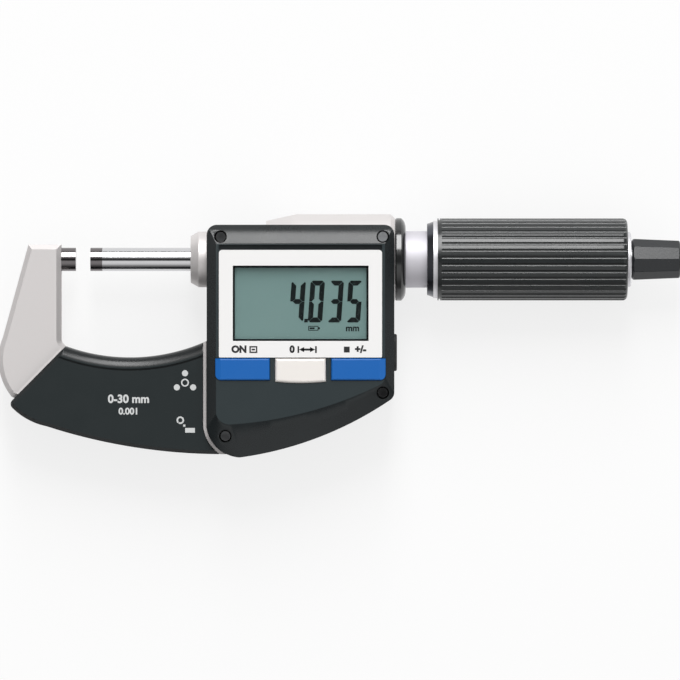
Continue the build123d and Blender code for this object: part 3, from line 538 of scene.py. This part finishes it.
def softened_copy(node, name, edge, material):
    """A piece in the place of a CAD node: its welded copy with every sharp edge softened."""
    bm = bmesh.new()
    bm.from_mesh(nodes[node].data)
    bmesh.ops.remove_doubles(bm, verts=bm.verts, dist=SOLID_WELD)
    bmesh.ops.dissolve_limit(
        bm, angle_limit=FLAT_ANGLE, verts=bm.verts, edges=bm.edges, delimit={"NORMAL"}
    )
    sharp = [e for e in bm.edges if e.is_manifold and e.calc_face_angle(0.0) > SOFTENED_ANGLE]
    bmesh.ops.bevel(
        bm,
        geom=sharp,
        offset=edge,
        offset_type="OFFSET",
        segments=2,
        profile=0.5,
        affect="EDGES",
        clamp_overlap=True,
        material=-1,
    )
    piece = new_piece(name, mesh_from(bm, name), material)
    weigh_normals(piece)
    ride_with(piece, node)
    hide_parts(node)


class FinishFrame(bpy.types.Operator):
    """Satin chrome frame with its ground steel and carbide anvil"""

    bl_idname = "micrometer.finish_frame"
    bl_label = "Finish Frame"

    def execute(self, context):
        colours = context.scene.micrometer_colours
        edge = context.scene.micrometer_sizes.metal_edge
        satin = metal(
            "Satin frame",
            colours.satin_frame,
            roughness=0.5,
            metallic=0.6,
            grain=5200.0,
            drift=60.0,
            bump=0.25,
            spread=0.1,
        )
        softened_copy("frame", "frame_casting", edge, satin)
        carbide = metal(
            "Carbide faces",
            colours.carbide,
            roughness=0.16,
            grain=9000.0,
            stretch=(0.2, 1.0, 1.0),
            bump=0.15,
        )
        dress(carbide, "anvil_tip", "spindle_tip")
        dress(ground_steel(colours), "anvil", "key_pin")
        return {"FINISHED"}


def ground_steel(colours):
    """Steel ground round the measuring line."""
    found = bpy.data.materials.get("Ground steel")
    if found:
        return found
    return metal(
        "Ground steel",
        colours.steel,
        roughness=0.11,
        grain=1400.0,
        stretch=(6.0, 0.4, 0.4),
        bump=0.01,
        spread=0.05,
    )


class FinishPlates(bpy.types.Operator):
    """Black insulating plates on both sides of the bow"""

    bl_idname = "micrometer.finish_plates"
    bl_label = "Finish Plates"

    def execute(self, context):
        colours = context.scene.micrometer_colours
        edge = context.scene.micrometer_sizes.edge
        levels = outer_levels("rear_plate", "front_plate")
        # Bevels coloured darker than the faces: painted shade
        black = textured_black_shaded_bevels(
            "Plate moulding", colours.plate, colours.bevel, levels, drift=120.0, bump=0.3
        )
        softened_copy("front_plate", "front_insulating_plate", edge, black)
        softened_copy("rear_plate", "rear_insulating_plate", edge, black)
        return {"FINISHED"}


class FinishHousing(bpy.types.Operator):
    """Both halves of the moulded housing with their seals and screws"""

    bl_idname = "micrometer.finish_housing"
    bl_label = "Finish Housing"

    def execute(self, context):
        colours = context.scene.micrometer_colours
        edge = context.scene.micrometer_sizes.edge
        levels = outer_levels("housing_rear", "housing_front")
        # Bevels coloured darker than the faces: painted shade
        black = textured_black_shaded_bevels(
            "Housing moulding", colours.housing, colours.bevel, levels, drift=110.0, bump=0.25
        )
        softened_copy("housing_front", "front_housing", edge, black)
        softened_copy("housing_rear", "rear_housing", edge, black)
        seal = plastic("Seal rubber", colours.rubber, roughness=0.7, bump=0.4)
        dress(seal, "housing_gasket", "battery_seal")
        steel = metal(
            "Screw steel",
            colours.screw,
            roughness=0.42,
            metallic=0.85,
            grain=3000.0,
            bump=0.05,
        )
        dress(steel, "housing_screws", "rear_screws")
        return {"FINISHED"}


class FinishPanel(bpy.types.Operator):
    """White face panel, clear window and display"""

    bl_idname = "micrometer.finish_panel"
    bl_label = "Finish Panel"

    def execute(self, context):
        colours = context.scene.micrometer_colours
        edge = context.scene.micrometer_sizes.panel_edge
        white = plastic(
            "Panel white",
            colours.panel,
            roughness=0.38,
            grain=2600.0,
            drift=50.0,
            share=0.3,
            bump=0.1,
            pale=-0.06,
        )
        softened_copy("face_panel", "printed_face_panel", edge, white)
        ground = plastic(
            "Display ground",
            colours.display,
            roughness=0.3,
            grain=1500.0,
            drift=120.0,
            share=0.35,
            pale=0.08,
        )
        dress(ground, "lcd_panel")
        dress(clear_window(), "lcd_window")
        return {"FINISHED"}


def clear_window():
    """Clear plastic that lets the lamps through to the display."""
    material = bpy.data.materials.new("Window glass")
    material.use_nodes = True
    tree = material.node_tree
    shader = tree.nodes["Principled BSDF"]
    shader.inputs["Base Color"].default_value = (1.0, 1.0, 1.0, 1.0)
    shader.inputs["Transmission Weight"].default_value = 1.0
    shader.inputs["Roughness"].default_value = 0.02
    shader.inputs["IOR"].default_value = 1.28
    rays = tree.nodes.new("ShaderNodeLightPath")
    passing = maths(tree, "MAXIMUM", rays.outputs["Is Shadow Ray"], rays.outputs["Is Diffuse Ray"])
    through = tree.nodes.new("ShaderNodeBsdfTransparent")
    mixed_surface(tree, passing, shader.outputs[0], through.outputs[0])
    return material


class AddReading(bpy.types.Operator):
    """Dark digits, unit and battery sign on the display, under the window"""

    bl_idname = "micrometer.add_reading"
    bl_label = "Add Reading"

    def execute(self, context):
        colours = context.scene.micrometer_colours
        sizes = context.scene.micrometer_sizes
        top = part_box("lcd_panel")[1].z
        high = top + sizes.print_height
        bm = bmesh.new()
        digits = sizes.reading.replace(".", "")
        point_after = sizes.reading.find(".") - 1
        for index, digit in enumerate(digits):
            x = sizes.reading_right - (len(digits) - 1 - index) * sizes.digit_pitch
            for outline in digit_outlines(digit, sizes):
                add_prism(bm, slanted(outline, x, sizes), top, high)
            if index == point_after:
                add_prism(bm, slanted(point_outline(sizes), x, sizes), top, high)
        add_text(bm, "mm", UNIT_HEIGHT, UNIT_PLACE, top, high)
        for outline in battery_mark(*BATTERY_PLACE, *BATTERY_SIZE):
            add_prism(bm, outline, top, high)
        ink = plastic(
            "Display segments",
            colours.segments,
            roughness=0.5,
            grain=2600.0,
            share=0.4,
            shine=0.15,
            pale=0.006,
        )
        finish_print(bm, "display_reading", ink, "lcd_panel")
        return {"FINISHED"}


def digit_outlines(digit, sizes):
    """Mitred segments of one digit about its centre."""
    w = sizes.digit_width / 2
    h = sizes.digit_height / 2
    s = sizes.digit_stroke
    gap = sizes.segment_gap
    cut = s * TIP_CUT
    half_cap = [(w - gap - cut, h), (w - gap - cut / 2, h - cut / 2), (w - s - gap, h - s)]
    cap = mirrored(half_cap, -1, 1)[::-1] + half_cap
    upright = [(-w, gap), (-w + s / 2, gap), (-w + s, s / 2 + gap), (-w + s, h - s - gap)]
    upright += [(-w + cut / 2, h - gap - cut / 2), (-w, h - gap - cut)]
    upper = [(-w + s / 2 + gap, 0.0), (-w + s + gap, s / 2), (w - s - gap, s / 2)]
    lower = [(w - s / 2 - gap, 0.0), (w - s - gap, -s / 2), (-w + s + gap, -s / 2)]
    shapes = {
        "a": cap,
        "b": mirrored(upright, -1, 1),
        "c": mirrored(upright, -1, -1),
        "d": mirrored(cap, 1, -1),
        "e": mirrored(upright, 1, -1),
        "f": upright,
        "g": upper + lower,
    }
    return [shapes[segment] for segment in SEGMENTS[digit]]


def mirrored(outline, across, along):
    """An outline flipped about the centre of its digit."""
    return [(x * across, y * along) for x, y in outline]


def point_outline(sizes):
    """Decimal point to the right of a digit, on its foot line."""
    half = sizes.digit_stroke * POINT_HALF
    x = sizes.digit_pitch / 2 + sizes.digit_stroke * POINT_SHIFT
    y = -sizes.digit_height / 2 + half
    return box_outline(x, y, 2 * half, 2 * half)


def slanted(outline, x, sizes):
    """An outline moved to its digit's place and slanted."""
    return [(x + u + v * sizes.digit_slant, sizes.reading_y + v) for u, v in outline]


def box_outline(x, y, wide, deep):
    """Rectangle about a centre."""
    u = wide / 2
    v = deep / 2
    return [(x - u, y - v), (x + u, y - v), (x + u, y + v), (x - u, y + v)]


def frame_outlines(x, y, wide, deep, line):
    """Four bars that draw a hollow rectangle."""
    return [
        box_outline(x, y + (deep - line) / 2, wide, line),
        box_outline(x, y - (deep - line) / 2, wide, line),
        box_outline(x - (wide - line) / 2, y, line, deep - 2 * line),
        box_outline(x + (wide - line) / 2, y, line, deep - 2 * line),
    ]


def battery_mark(x, y, wide, deep):
    """Generic battery sign in shares of its size: hollow case, filled charge and small pole."""
    line = deep * 0.16
    marks = frame_outlines(x, y, wide, deep, line)
    marks.append(box_outline(x - wide * 0.12, y, wide * 0.5, deep - 4 * line))
    marks.append(box_outline(x + wide / 2 + line, y, line * 2, deep * 0.45))
    return marks


def arrow_outline(x, y, size, way):
    """Triangle that points left (-1) or right (1)."""
    tip = (x + way * size / 2, y)
    low = (x - way * size / 2, y - size / 2)
    high = (x - way * size / 2, y + size / 2)
    return [tip, high, low] if way > 0 else [tip, low, high]


def round_place(centre, radius, turn):
    """Place on a circle, at a turn in radians."""
    return centre[0] + radius * math.cos(turn), centre[1] + radius * math.sin(turn)


def disc_outline(centre, radius, corners=24):
    """Polygon close to a circle."""
    return [round_place(centre, radius, 2 * math.pi * k / corners) for k in range(corners)]


def add_prism(bm, outline, low, high):
    """A flat outline given thickness between two heights."""
    face = bm.faces.new([bm.verts.new((x, y, low)) for x, y in outline])
    grown = bmesh.ops.extrude_face_region(bm, geom=[face])
    tops = [part for part in grown["geom"] if isinstance(part, bmesh.types.BMVert)]
    bmesh.ops.translate(bm, verts=tops, vec=(0.0, 0.0, high - low))


def add_ring(bm, centre, outer, inner, low, high, corners=32):
    """A flat ring made of short wedges."""
    for k in range(corners):
        turns = (2 * math.pi * k / corners, 2 * math.pi * (k + 1) / corners)
        near = [round_place(centre, inner, turn) for turn in turns]
        far = [round_place(centre, outer, turn) for turn in reversed(turns)]
        add_prism(bm, near + far, low, high)


def add_text(bm, text, height, centre, low, high, weight=PLAIN_WEIGHT):
    """Plain lettering of a given capital height, centred on a place."""
    curve = bpy.data.curves.new("lettering", "FONT")
    curve.body = text
    curve.align_x = "CENTER"
    curve.align_y = "CENTER"
    curve.size = height / CAPITAL_SHARE
    curve.offset = height * weight
    curve.extrude = (high - low) / 2
    curve.resolution_u = 6
    holder = bpy.data.objects.new("lettering", curve)
    bpy.context.scene.collection.objects.link(holder)
    shaped = holder.evaluated_get(bpy.context.evaluated_depsgraph_get())
    mesh = bpy.data.meshes.new_from_object(shaped)
    before = len(bm.verts)
    bm.from_mesh(mesh)
    bm.verts.ensure_lookup_table()
    move = (*centre, (low + high) / 2)
    bmesh.ops.translate(bm, verts=bm.verts[before:], vec=move)
    bpy.data.objects.remove(holder)
    bpy.data.curves.remove(curve)
    bpy.data.meshes.remove(mesh)


def finish_print(bm, name, ink, node):
    """Turn finished marks into a piece that rides with the surface under them."""
    bmesh.ops.remove_doubles(bm, verts=bm.verts, dist=PRINT_WELD)
    bmesh.ops.recalc_face_normals(bm, faces=bm.faces)
    ride_with(new_piece(name, mesh_from(bm, name), ink), node)


class AddPanelPrint(bpy.types.Operator):
    """Small black marks over the three buttons"""

    bl_idname = "micrometer.add_panel_print"
    bl_label = "Add Panel Print"

    def execute(self, context):
        colours = context.scene.micrometer_colours
        sizes = context.scene.micrometer_sizes
        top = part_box("face_panel")[1].z
        high = top + sizes.print_height
        # The signs are drawn in shares of the lettering's height
        tall = sizes.label_height
        y = PANEL_ROW
        bm = bmesh.new()
        add_text(bm, "ON", tall, (ON_X, y), top, high, BOLD_WEIGHT)
        for outline in frame_outlines(BOX_X, y, tall * 1.15, tall, tall * 0.2):
            add_prism(bm, outline, top, high)
        add_prism(bm, box_outline(BOX_X, y, tall * 0.5, tall * 0.24), top, high)
        add_text(bm, "0", tall, (ZERO_X, y), top, high, BOLD_WEIGHT)
        add_prism(bm, box_outline(ARROWS_X, y, tall * 1.5, tall * 0.3), top, high)
        for way in (-1, 1):
            head = arrow_outline(ARROWS_X + way * tall * 0.8, y, tall * 0.75, way)
            stop = box_outline(ARROWS_X + way * tall * 1.28, y, tall * 0.24, tall)
            add_prism(bm, head, top, high)
            add_prism(bm, stop, top, high)
        add_prism(bm, box_outline(SQUARE_X, y, tall * 0.85, tall * 0.85), top, high)
        add_text(bm, "+/-", tall, (SIGNS_X, y), top, high, BOLD_WEIGHT)
        ink = plastic("Panel ink", colours.print_black, roughness=0.45, grain=2600.0, share=0.4)
        finish_print(bm, "panel_print", ink, "face_panel")
        return {"FINISHED"}


class AddPlatePrint(bpy.types.Operator):
    """White measuring range, step and two plain signs on the front plate"""

    bl_idname = "micrometer.add_plate_print"
    bl_label = "Add Plate Print"

    def execute(self, context):
        colours = context.scene.micrometer_colours
        sizes = context.scene.micrometer_sizes
        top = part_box("front_plate")[1].z
        high = top + sizes.print_height
        tall = sizes.range_height
        bm = bmesh.new()
        add_text(bm, "0-30 mm", tall, RANGE_PLACE, top, high)
        add_text(bm, "0.001", tall * STEP_SHARE, STEP_PLACE, top, high)
        for turn in (90, 210, 330):
            centre = round_place(DOTS_PLACE, DOTS_REACH, math.radians(turn))
            add_prism(bm, disc_outline(centre, DOT_RADIUS), top, high)
        add_ring(bm, DOTS_PLACE, *DOTS_RING, top, high)
        add_ring(bm, KEY_RING_PLACE, *KEY_RING, top, high)
        add_prism(bm, box_outline(*KEY_BAR_PLACE, *KEY_BAR), top, high)
        add_prism(bm, box_outline(*KEY_DOT_PLACE, KEY_DOT, KEY_DOT), top, high)
        ink = plastic("Plate ink", colours.print_white, roughness=0.5, grain=2600.0, share=0.4)
        finish_print(bm, "plate_print", ink, "front_plate")
        return {"FINISHED"}


class FinishButtons(bpy.types.Operator):
    """Three buttons under the display"""

    bl_idname = "micrometer.finish_buttons"
    bl_label = "Finish Buttons"

    def execute(self, context):
        colours = context.scene.micrometer_colours
        blue = plastic(
            "Blue button",
            colours.side_button,
            roughness=0.4,
            grain=2600.0,
            drift=160.0,
            bump=0.3,
            shine=0.35,
            pale=0.01,
        )
        white = plastic(
            "White button",
            colours.middle_button,
            roughness=0.4,
            grain=2600.0,
            drift=160.0,
            bump=0.2,
        )
        dress(blue, "button_left", "button_right")
        dress(white, "button_center")
        return {"FINISHED"}


class FinishSpindle(bpy.types.Operator):
    """Ground spindle, lock, sleeve, wiper ring and the tube of the thimble"""

    bl_idname = "micrometer.finish_spindle"
    bl_label = "Finish Spindle"

    def execute(self, context):
        colours = context.scene.micrometer_colours
        dress(ground_steel(colours), "spindle", "lock_collet", "lock_roller")
        chrome = metal("Satin chrome", colours.chrome, roughness=0.5, **TURNED)
        dress(chrome, "thimble_body")
        turned = metal("Turned sleeve", colours.sleeve, roughness=0.62, metallic=0.7, **TURNED)
        dress(turned, "sleeve")
        ring = plastic(
            "Polished ring", colours.ring, roughness=0.16, grain=2600.0, shine=0.7, bump=0.05
        )
        dress(ring, "lock_ring")
        blued = metal(
            "Blued steel", colours.blued, roughness=0.22, grain=2600.0, bump=0.05, spread=0.05
        )
        dress(blued, "wiper_ring")
        return {"FINISHED"}


class FinishThimble(bpy.types.Operator):
    """Fluted grip and ratchet knob"""

    bl_idname = "micrometer.finish_thimble"
    bl_label = "Finish Thimble"

    def execute(self, context):
        colours = context.scene.micrometer_colours
        edge = context.scene.micrometer_sizes.edge
        grip = plastic(
            "Fluted grip",
            colours.grip,
            roughness=0.28,
            grain=4200.0,
            bump=0.06,
            shine=0.6,
            pale=0.02,
        )
        dress(grip, "thimble_grip")
        knob = plastic(
            "Knob black", colours.knob, roughness=0.26, grain=4200.0, bump=0.25, pale=0.02
        )
        softened_copy("ratchet_knob", "ratchet_knob_cap", edge, knob)
        return {"FINISHED"}


class FinishInside(bpy.types.Operator):
    """Drive, board, battery and the other pieces inside, the battery cover and the plug"""

    bl_idname = "micrometer.finish_inside"
    bl_label = "Finish Inside"

    def execute(self, context):
        colours = context.scene.micrometer_colours
        bronze = metal("Bronze", colours.bronze, roughness=0.32, grain=1800.0, bump=0.1)
        dress(bronze, "drive_nut", "thrust_washers")
        steel = metal(
            "Turned steel",
            colours.steel,
            roughness=0.3,
            grain=1800.0,
            stretch=(5.0, 0.5, 0.5),
            bump=0.1,
        )
        dress(steel, "drive_screw", "coupling_cap")
        dress(steel, "ratchet_base", "ratchet_driver", "ratchet_screw", "ratchet_spring")
        brass = metal("Gilded brass", colours.brass, roughness=0.3, bump=0.1)
        dress(brass, "battery_contacts", "encoder_scale")
        dress(metal("Cell case", colours.chrome, roughness=0.25, bump=0.1), "battery_cell")
        dress(plastic("Board lacquer", colours.board, roughness=0.4, bump=0.2), "circuit_board")
        dark = plastic("Switch plastic", colours.rubber, roughness=0.5, bump=0.2)
        dress(dark, "switches", "encoder_head", "port_socket", "contact_strips")
        dress(bpy.data.materials["Housing moulding"], "battery_cover")
        dress(plastic("Plug rubber", colours.rubber, roughness=0.55, bump=0.4), "port_cover")
        return {"FINISHED"}


class SetStage(bpy.types.Operator):
    """Pale floor, soft studio light and the camera"""

    bl_idname = "micrometer.set_stage"
    bl_label = "Set Stage"

    def execute(self, context):
        scene = context.scene
        stage = scene.micrometer_stage
        make_floor(scene.micrometer_colours, stage)
        make_world(scene, stage)
        make_softbox(scene, stage)
        make_camera(scene, stage)
        scene.view_settings.view_transform = "Standard"
        return {"FINISHED"}


def make_floor(colours, stage):
    """Wide floor just under the part's resting plane."""
    bm = bmesh.new()
    bmesh.ops.create_grid(bm, x_segments=1, y_segments=1, size=FLOOR_REACH)
    bmesh.ops.translate(bm, verts=bm.verts, vec=(0.0, 0.0, cad_low.z - FLOOR_GAP))
    material = bpy.data.materials.new("Pale floor")
    material.use_nodes = True
    tree = material.node_tree
    shader = tree.nodes["Principled BSDF"]
    shader.inputs["Base Color"].default_value = (*colours.floor, 1.0)
    shader.inputs["Roughness"].default_value = 0.9
    shader.inputs["Specular IOR Level"].default_value = 0.1
    rays = tree.nodes.new("ShaderNodeLightPath")
    seen = maths(tree, "MAXIMUM", rays.outputs["Is Camera Ray"], rays.outputs["Is Glossy Ray"])
    seen = maths(tree, "MAXIMUM", seen, rays.outputs["Is Transmission Ray"])
    share = maths(tree, "MULTIPLY", seen, stage.floor_glow)
    glow = tree.nodes.new("ShaderNodeEmission")
    mixed_surface(tree, share, shader.outputs[0], glow.outputs[0])
    floor = new_piece("floor", mesh_from(bm, "floor"), material)


def make_world(scene, stage):
    """Room light by height and side: dim overhead, bright round it, dark to both ends."""
    world = bpy.data.worlds.new("Studio")
    scene.world = world
    world.use_nodes = True
    tree = world.node_tree
    background = tree.nodes["Background"]
    place = tree.nodes.new("ShaderNodeTexCoord")
    split = tree.nodes.new("ShaderNodeSeparateXYZ")
    tree.links.new(place.outputs["Generated"], split.inputs[0])
    angle = maths(tree, "DIVIDE", maths(tree, "ARCCOSINE", split.outputs["Z"]), math.pi / 2)
    height = tree.nodes.new("ShaderNodeValToRGB")
    tree.links.new(angle, height.inputs[0])
    stops = height.color_ramp.elements
    for position, _ in ROOM_LEVELS[len(stops):]:
        stops.new(position)
    for stop, (position, level) in zip(stops, ROOM_LEVELS):
        stop.position = position
        stop.color = (level, level, level, 1.0)
    along = maths(tree, "ABSOLUTE", maths(tree, "SUBTRACT", split.outputs["X"], ROOM_SHIFT))
    ends_left = stage.room_strength * stage.end_share
    ends = faded(tree, along, END_FADE, (stage.room_strength, ends_left))
    nearness = maths(tree, "MULTIPLY", split.outputs["Y"], -1.0)
    near = faded(tree, nearness, NEAR_FADE, (1.0, stage.near_share))
    tree.links.new(height.outputs["Color"], background.inputs["Color"])
    tree.links.new(maths(tree, "MULTIPLY", ends, near), background.inputs["Strength"])


def make_softbox(scene, stage):
    """Rectangular softbox that points at the middle of the part."""
    lamp = bpy.data.lights.new("Key softbox", "AREA")
    lamp.shape = "RECTANGLE"
    lamp.size, lamp.size_y = SOFTBOX_SIZE
    lamp.energy = stage.key_strength * math.pi * SOFTBOX_SIZE[0] * SOFTBOX_SIZE[1]
    box = bpy.data.objects.new("Key softbox", lamp)
    scene.collection.objects.link(box)
    middle = (cad_low + cad_high) / 2
    box.location = SOFTBOX_PLACE
    box.rotation_mode = "QUATERNION"
    box.rotation_quaternion = (middle - Vector(SOFTBOX_PLACE)).to_track_quat("-Z", "Y")
    box.visible_camera = False


def make_camera(scene, stage):
    """Camera straight above, framed as the photograph is."""
    data = bpy.data.cameras.new("Camera")
    data.lens = data.sensor_width * stage.camera_height / stage.view_width
    data.clip_start = 0.01
    data.clip_end = 20.0
    camera = bpy.data.objects.new("Camera", data)
    scene.collection.objects.link(camera)
    camera.location = (stage.camera_x, stage.camera_y, stage.camera_height)
    scene.camera = camera


class MicrometerPanel(bpy.types.Panel):
    """Buttons for each group of pieces"""

    bl_idname = "VIEW3D_PT_micrometer"
    bl_label = "Micrometer"
    bl_space_type = "VIEW_3D"
    bl_region_type = "UI"
    bl_category = "Micrometer"

    def draw(self, context):
        for operator in OPERATORS:
            self.layout.operator(operator.bl_idname)


# In the order in which they run
OPERATORS = (
    FinishFrame,
    FinishPlates,
    FinishHousing,
    FinishPanel,
    AddReading,
    AddPanelPrint,
    AddPlatePrint,
    FinishButtons,
    FinishSpindle,
    FinishThimble,
    FinishInside,
    SetStage,
)
CLASSES = (
    MicrometerColours,
    MicrometerSizes,
    MicrometerStage,
    *OPERATORS,
    MicrometerPanel,
)


def register():
    """Add the classes and the settings of the scene."""
    for part in CLASSES:
        bpy.utils.register_class(part)
    bpy.types.Scene.micrometer_colours = PointerProperty(type=MicrometerColours)
    bpy.types.Scene.micrometer_sizes = PointerProperty(type=MicrometerSizes)
    bpy.types.Scene.micrometer_stage = PointerProperty(type=MicrometerStage)


def unregister():
    """Take the settings and the classes away again."""
    del bpy.types.Scene.micrometer_stage
    del bpy.types.Scene.micrometer_sizes
    del bpy.types.Scene.micrometer_colours
    for part in reversed(CLASSES):
        bpy.utils.unregister_class(part)


def main():
    """Build everything in order."""
    register()
    for operator in OPERATORS:
        family, name = operator.bl_idname.split(".")
        getattr(getattr(bpy.ops, family), name)()


if __name__ == "__main__":
    main()
